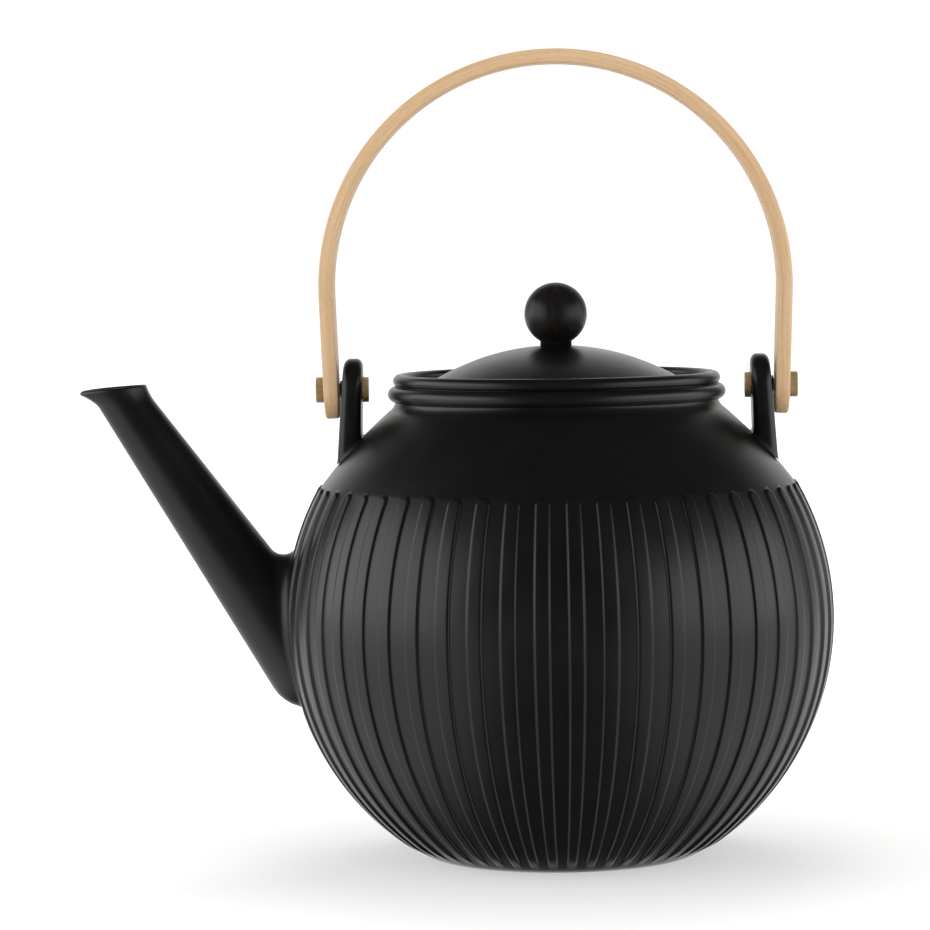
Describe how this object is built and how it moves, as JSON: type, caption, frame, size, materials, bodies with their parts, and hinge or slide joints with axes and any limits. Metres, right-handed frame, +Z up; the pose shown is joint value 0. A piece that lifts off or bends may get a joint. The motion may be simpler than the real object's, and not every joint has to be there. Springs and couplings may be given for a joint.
{
  "type": "teapot",
  "caption": "Ribbed ball-shaped teapot with a straight spout, a domed lid with a ball knob, an infuser and a swinging bent-wood handle.",
  "frame": {"origin": "middle of the base, on the pot's upright axis, at the height of the surface it stands on", "axes": "+Z up along the pot's axis; the spout points along -X; the handle's pivot axis lies along X"},
  "size_m": [0.2201, 0.1606, 0.2359],
  "materials": {
    "pot_glaze": "satin black glaze",
    "bush": "black nylon",
    "steel": "brushed",
    "mesh": "fine woven mesh",
    "seal": "translucent white silicone",
    "knob": "turned wood, stained black",
    "bent_wood": "oiled beech, bent",
    "aged_brass": "aged brass"
  },
  "bodies": {
    "pot": {"pot_body": "pot_glaze", "spout": "pot_glaze", "front_ear": "pot_glaze", "rear_ear": "pot_glaze", "front_bush": "bush", "rear_bush": "bush"},
    "infuser": {"infuser_rim": "steel", "infuser_basket": "steel", "infuser_mesh": "mesh", "infuser_floor": "mesh"},
    "lid": {"lid": "pot_glaze", "lid_seal": "seal", "lid_knob": "knob", "knob_screw": "steel", "knob_washer": "steel"},
    "handle": {"handle_bow": "bent_wood", "front_post": "aged_brass", "rear_post": "aged_brass", "front_screw": "aged_brass", "rear_screw": "aged_brass", "front_washer": "aged_brass", "rear_washer": "aged_brass"}
  },
  "joints": [
    {"name": "handle_swing", "type": "hinge", "parent": "pot", "child": "handle", "pos_m": [0, 0, 0.1375], "axis": [1, 0, 0], "range_deg": [-115, 115]},
    {"name": "infuser_lift", "type": "slide", "parent": "pot", "child": "infuser", "axis": [0, 0, 1], "range_m": [0, 0.06]},
    {"name": "lid_lift", "type": "slide", "parent": "infuser", "child": "lid", "axis": [0, 0, 1], "range_m": [0, 0.055]}
  ]
}
